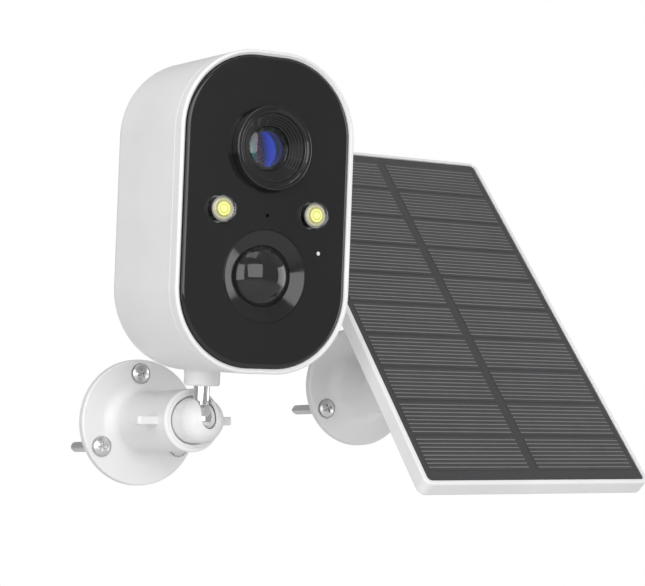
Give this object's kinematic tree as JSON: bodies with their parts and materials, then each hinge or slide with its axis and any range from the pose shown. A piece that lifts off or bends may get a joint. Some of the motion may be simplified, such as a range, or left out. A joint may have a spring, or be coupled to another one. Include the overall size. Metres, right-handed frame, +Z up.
{
  "type": "solar-powered security camera",
  "caption": "Battery camera with a black oblong face and a separate solar panel, each on a wall bracket with a clamped ball joint.",
  "frame": {"origin": "centre of the camera bracket's back face, on the wall, in the middle of its screw circle", "axes": "+Y into the wall, -Y the way the camera looks, +Z up, +X to the right seen from the front"},
  "size_m": [0.1621, 0.1318, 0.1375],
  "materials": {
    "bracket_white": "satin",
    "nylon": "matt",
    "chrome": "polished",
    "screw_steel": "zinc plated",
    "brass": "machined",
    "housing_white": "satin",
    "face_black": "gloss",
    "lens_black": "matt",
    "lens_glass": "coated",
    "clear_plastic": "clear",
    "reflector_silver": "polished",
    "led_yellow": "phosphor",
    "dome_dark": "gloss",
    "board_green": "lacquered",
    "chip_black": "matt",
    "battery_wrap": "heat-shrink wrap",
    "copper_film": "film",
    "rubber_black": "matt",
    "rubber_white": "matt",
    "panel_white": "satin",
    "board_black": "laminate",
    "solar_cell": "printed",
    "clear_sheet": "clear film"
  },
  "bodies": {
    "wall_brackets": {"camera_bracket": "bracket_white", "camera_wall_screws": "screw_steel", "camera_ball_seat": "nylon", "panel_bracket": "bracket_white", "panel_wall_screws": "screw_steel", "panel_ball_seat": "nylon"},
    "camera_clamp": {"camera_clamp_cap": "bracket_white"},
    "camera_nut": {"camera_wing_nut": "bracket_white"},
    "camera_stud": {"camera_ball_stud": "chrome"},
    "camera_head": {"main_shell": "housing_white", "front_rim": "housing_white", "face_panel": "face_black", "face_gasket": "rubber_black", "lens_ring": "face_black", "lens_barrel": "lens_black", "lens_front_glass": "lens_glass", "lens_inner_element": "lens_glass", "lens_holder": "lens_black", "image_sensor": "chip_black", "sensor_board": "board_green", "front_board": "board_green", "led_cap_left": "clear_plastic", "led_cap_right": "clear_plastic", "led_reflector_left": "reflector_silver", "led_reflector_right": "reflector_silver", "led_chips": "led_yellow", "pir_ring": "face_black", "pir_dome": "dome_dark", "pir_sensor": "screw_steel", "microphone": "screw_steel", "microphone_gasket": "rubber_black", "status_light_pipe": "clear_plastic", "main_board": "board_green", "main_board_chips": "chip_black", "board_screws": "screw_steel", "battery_cells": "battery_wrap", "battery_cradle": "nylon", "speaker": "lens_black", "wifi_antenna": "copper_film", "port_board": "board_green", "charging_port": "screw_steel", "tact_switches": "chip_black", "camera_insert": "brass"},
    "power_key": {"power_button": "housing_white"},
    "reset_key": {"reset_button": "chip_black"},
    "port_flap": {"port_cover": "rubber_white"},
    "panel_clamp": {"panel_clamp_cap": "bracket_white"},
    "panel_nut": {"panel_wing_nut": "bracket_white"},
    "panel_stud": {"panel_ball_stud": "chrome"},
    "solar_panel": {"panel_frame": "panel_white", "panel_back": "panel_white", "cell_backing": "board_black", "solar_cells": "solar_cell", "clear_sheet": "clear_sheet", "panel_insert": "brass", "charge_board": "board_green", "junction_box": "panel_white", "cable_gland": "rubber_black", "panel_back_screws": "screw_steel"}
  },
  "joints": [
    {"name": "camera_cap_slide", "type": "slide", "parent": "wall_brackets", "child": "camera_clamp", "axis": [0, -1, 0], "range_m": [0, 0.0012]},
    {"name": "camera_nut_turn", "type": "hinge", "parent": "camera_clamp", "child": "camera_nut", "pos_m": [0, -0.047, 0], "axis": [0, -1, 0], "range_deg": [0, 187]},
    {"name": "camera_tilt", "type": "hinge", "parent": "wall_brackets", "child": "camera_stud", "pos_m": [0, -0.047, 0], "axis": [1, 0, 0], "range_deg": [-7, 85.9]},
    {"name": "camera_pan", "type": "hinge", "parent": "camera_stud", "child": "camera_head", "pos_m": [0, -0.047, 0], "axis": [0, -0.0715, 0.9974], "range_deg": [-110, 8]},
    {"name": "power_press", "type": "slide", "parent": "camera_head", "child": "power_key", "axis": [0, -0.9974, -0.0715], "range_m": [0, 0.0005], "stiffness_N_per_m": 600, "springref_m": -0.0003},
    {"name": "reset_press", "type": "slide", "parent": "camera_head", "child": "reset_key", "axis": [0, -0.9974, -0.0715], "range_m": [0, 0.0004], "stiffness_N_per_m": 300, "springref_m": -0.0003},
    {"name": "port_flap_open", "type": "hinge", "parent": "camera_head", "child": "port_flap", "pos_m": [-0.007, -0.0405, 0.03596], "axis": [1, 0, 0], "range_deg": [0, 100]},
    {"name": "panel_cap_slide", "type": "slide", "parent": "wall_brackets", "child": "panel_clamp", "axis": [0, -1, 0], "range_m": [0, 0.0012]},
    {"name": "panel_nut_turn", "type": "hinge", "parent": "panel_clamp", "child": "panel_nut", "pos_m": [0.0881, -0.047, 0.0139], "axis": [0, -1, 0], "range_deg": [0, 187]},
    {"name": "panel_tilt", "type": "hinge", "parent": "wall_brackets", "child": "panel_stud", "pos_m": [0.0881, -0.047, 0.0139], "axis": [1, 0, 0], "range_deg": [-1, 39.2]},
    {"name": "panel_spin", "type": "hinge", "parent": "panel_stud", "child": "solar_panel", "pos_m": [0.0881, -0.047, 0.0139], "axis": [0, -0.7749, 0.632], "range_deg": [-8, 5]}
  ],
  "couplings": [
    {"joint": "camera_nut_turn", "follows": "camera_cap_slide", "rad_per_m": 2618},
    {"joint": "panel_nut_turn", "follows": "panel_cap_slide", "rad_per_m": 2618}
  ]
}
